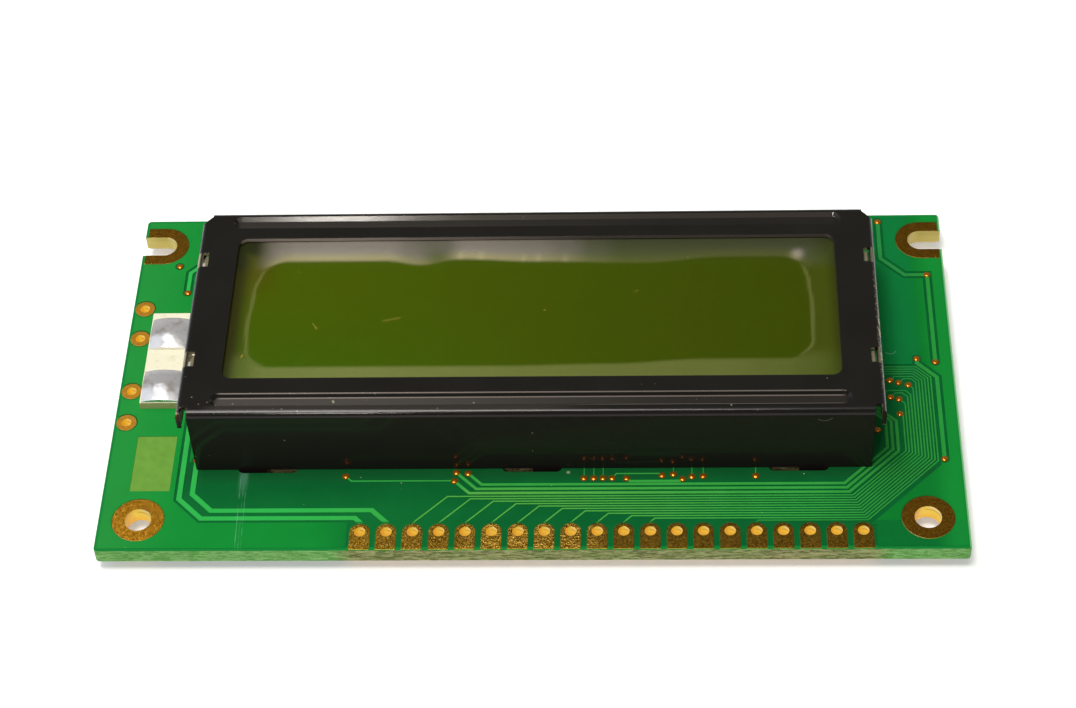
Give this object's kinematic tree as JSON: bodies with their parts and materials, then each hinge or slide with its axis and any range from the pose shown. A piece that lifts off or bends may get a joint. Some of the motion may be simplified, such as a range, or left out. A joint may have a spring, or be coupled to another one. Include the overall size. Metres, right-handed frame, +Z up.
{
  "type": "graphic lcd module",
  "caption": "Flat display module: a circuit board with edge terminals carries a yellow-green liquid crystal window in a folded black metal bezel, with a side light box tongue.",
  "frame": {"origin": "below the middle of the board, level with the flat tops of the rear driver drops that it rests on", "axes": "+X along the long side, +Y from the terminal edge to the far edge, +Z up out of the display"},
  "size_m": [0.084, 0.044, 0.0114],
  "materials": {
    "laminate": "glossy green solder mask over glass laminate",
    "copper_area": "green solder mask over a copper area",
    "conductor": "green solder mask over copper conductors",
    "gold": "thin gold plating over copper",
    "via": "copper coloured plated through connection",
    "bezel": "satin black paint on folded sheet steel",
    "film": "clear protective film",
    "polariser": "olive green polariser",
    "glass": "clear display glass",
    "seal": "cured seal",
    "rubber": "layered contact rubber",
    "light_board": "white masked laminate",
    "lamp": "lamp body with clear lens",
    "reflector": "white moulded plastic",
    "diffuser": "frosted sheet",
    "solder": "bright solder",
    "resin": "black sealing resin",
    "resistor": "black chip resistor",
    "capacitor": "tan ceramic capacitor",
    "tin": "tinned metal ends"
  },
  "bodies": {
    "root": {"circuit_board": "laminate", "front_copper_area": "copper_area", "front_conductors": "conductor", "rear_copper_area": "copper_area", "rear_conductors": "conductor", "terminals": "gold", "through_connections": "via", "light_box_holes": "gold", "mounting_land_left": "gold", "mounting_land_right": "gold", "slot_land_left": "gold", "slot_land_right": "gold", "contact_fingers_front": "gold", "contact_fingers_rear": "gold", "bezel": "bezel", "protective_film": "film", "front_polariser": "polariser", "front_glass": "glass", "cell_seal": "seal", "rear_glass": "glass", "rear_polariser": "polariser", "contact_strip_front": "rubber", "contact_strip_rear": "rubber", "light_board": "light_board", "lamps": "lamp", "reflector_frame": "reflector", "diffuser": "diffuser", "solder_upper": "solder", "solder_lower": "solder", "driver_left": "resin", "driver_right": "resin", "chip_ends": "tin", "chip_lands": "tin", "resistor_1": "resistor", "resistor_2": "resistor", "resistor_3": "resistor", "resistor_4": "resistor", "resistor_5": "resistor", "capacitor_1": "capacitor", "capacitor_2": "capacitor", "capacitor_3": "capacitor"}
  },
  "joints": []
}
